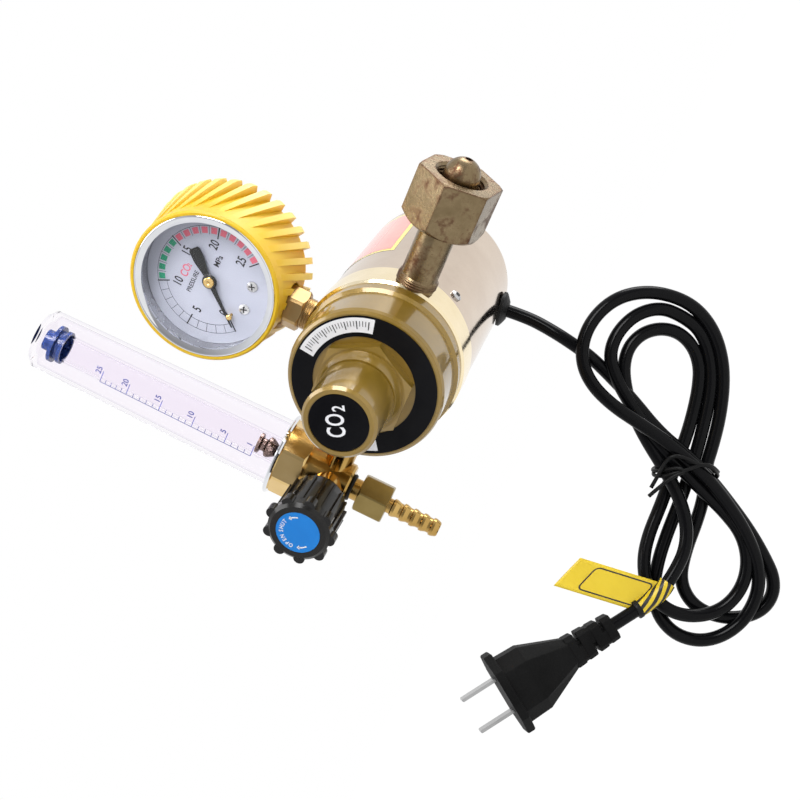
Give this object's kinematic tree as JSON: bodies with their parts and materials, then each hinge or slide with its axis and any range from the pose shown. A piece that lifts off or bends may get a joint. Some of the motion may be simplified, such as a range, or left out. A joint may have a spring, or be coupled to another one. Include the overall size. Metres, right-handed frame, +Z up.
{
  "type": "carbon dioxide regulator",
  "caption": "Heated gas regulator with coupling nut inlet, round gauge in a finned rubber boot, clear flow tube, needle valve knob, hose barb outlet and tied power cord.",
  "frame": {"origin": "on the inlet axis, at the middle of the straight part of the inlet nipple", "axes": "+X out of the inlet along the nipple, +Y back along the body towards the heater, +Z up towards the gauge"},
  "size_m": [0.2337, 0.1691, 0.3624],
  "materials": {
    "polished_brass": "satin",
    "aged_brass": "satin",
    "gold_paint": "gloss",
    "yellow_brass": "polished",
    "cream_body": "polished",
    "steel": "satin",
    "spring_steel": "satin",
    "shell_gold": "polished",
    "chrome_trim": "polished",
    "heater_aluminium": "satin",
    "heater_ceramic": "matte",
    "wool": "matte",
    "black_plastic": "matte",
    "black_knob": "satin",
    "blue_plastic": "gloss",
    "disc_blue": "gloss",
    "clear_plastic": "clear",
    "clear_window": "clear",
    "yellow_rubber": "matte",
    "black_rubber": "matte",
    "white_rubber": "matte",
    "black_label": "satin",
    "gas_label_face": "gloss",
    "dial_white": "matte",
    "pointer_black": "matte",
    "cord_black": "satin",
    "tie_black": "satin",
    "tag_yellow": "matte",
    "blade_metal": "polished",
    "float_metal": "satin"
  },
  "bodies": {
    "regulator": {"inlet_nipple": "aged_brass", "inlet_filter": "steel", "regulator_body": "cream_body", "bonnet": "gold_paint", "ring_label": "black_label", "adjuster_cap": "gold_paint", "gas_label": "gas_label_face", "adjusting_screw": "steel", "diaphragm": "black_rubber", "main_spring": "spring_steel", "spring_button": "steel", "valve_seat": "polished_brass", "poppet_spring": "spring_steel", "valve_plug": "polished_brass", "heater_block": "heater_aluminium", "heater_band": "heater_ceramic", "heater_wool": "wool", "thermostat": "black_plastic", "heater_shell": "shell_gold", "shell_screws": "steel", "cord_grommet": "black_rubber", "gauge_socket": "polished_brass", "bourdon_tube": "polished_brass", "gauge_case": "steel", "gauge_dial": "dial_white", "dial_screws": "steel", "stop_pin": "polished_brass", "gauge_window": "clear_window", "gauge_bezel": "chrome_trim", "gauge_boot": "yellow_rubber", "flow_block": "polished_brass", "link_pipe": "polished_brass", "flow_nut": "yellow_brass", "tube_seal": "white_rubber", "cover_ring": "chrome_trim", "flow_cover": "clear_plastic", "metering_tube": "clear_plastic", "tube_plug": "blue_plastic", "float_rest": "white_rubber", "spindle_packing": "white_rubber", "gland_nut": "polished_brass", "outlet_seal": "black_rubber", "outlet_nut": "yellow_brass", "hose_barb": "polished_brass", "cord_lead": "cord_black", "cord_hank": "cord_black", "cord_tie": "tie_black", "cord_tail": "cord_black", "cord_tag": "tag_yellow", "plug_body": "cord_black", "plug_blades": "blade_metal"},
    "inlet_nut": {"inlet_nut": "aged_brass"},
    "knob": {"valve_knob": "black_knob", "knob_disc": "disc_blue", "valve_spindle": "steel"},
    "pointer": {"gauge_pointer": "pointer_black", "pointer_arbor": "polished_brass"},
    "float": {"flow_float": "float_metal"},
    "valve_train": {"diaphragm_plate": "steel", "valve_poppet": "polished_brass"}
  },
  "joints": [
    {"name": "nut_turn", "type": "hinge", "parent": "regulator", "child": "inlet_nut", "pos_m": [0, 0, 0], "axis": [1, 0, 0], "continuous": true},
    {"name": "knob_turn", "type": "hinge", "parent": "regulator", "child": "knob", "pos_m": [-0.15285, -0.0364, 0], "axis": [0, -1, 0], "range_deg": [0, 900]},
    {"name": "pointer_turn", "type": "hinge", "parent": "regulator", "child": "pointer", "pos_m": [-0.08085, -0.0098, 0.0815], "axis": [0, 1, 0], "range_deg": [0, 270]},
    {"name": "float_rise", "type": "slide", "parent": "regulator", "child": "float", "axis": [0, 0, 1], "range_m": [0, 0.09]},
    {"name": "valve_lift", "type": "slide", "parent": "regulator", "child": "valve_train", "axis": [0, -1, 0], "range_m": [0, 0.0006]}
  ]
}
